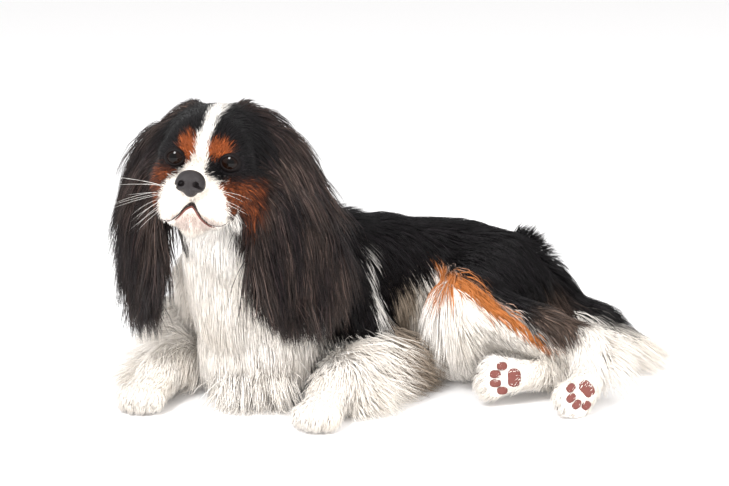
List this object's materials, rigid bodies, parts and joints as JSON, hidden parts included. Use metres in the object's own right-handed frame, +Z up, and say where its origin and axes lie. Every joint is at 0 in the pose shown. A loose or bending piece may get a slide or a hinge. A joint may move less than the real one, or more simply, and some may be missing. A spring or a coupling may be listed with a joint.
{
  "type": "cavalier king charles spaniel",
  "caption": "Tricolour long-eared toy spaniel lying down with its head raised, a still life-size animal model.",
  "frame": {"origin": "on the floor, at the middle of the model's footprint", "axes": "+Z up; +X from the head end towards the tail; the chest and face look towards -Y and a little towards -X"},
  "size_m": [0.5564, 0.3372, 0.273],
  "materials": {
    "body_coat": "long silky hair, black with white and tan markings",
    "short_coat": "short fine hair, white blaze and muzzle, tan brows and cheeks, black crown",
    "ear_coat": "long wavy black-brown hair",
    "white_coat": "soft white feathering",
    "nose_leather": "moist pebbled nose leather",
    "eye": "wet dark brown eye"
  },
  "bodies": {
    "root": {"head": "short_coat", "nose": "nose_leather", "eye_left": "eye", "eye_right": "eye", "ear_left": "ear_coat", "ear_right": "ear_coat", "neck": "body_coat", "chest": "body_coat", "loin": "body_coat", "rump": "body_coat", "tail": "body_coat", "foreleg_left": "white_coat", "foreleg_right": "white_coat", "forepaw_left": "white_coat", "forepaw_right": "white_coat", "thigh_left": "body_coat", "thigh_right": "body_coat", "shank_left": "body_coat", "shank_right": "body_coat", "hindpaw_left": "white_coat", "hindpaw_right": "white_coat"}
  },
  "joints": []
}
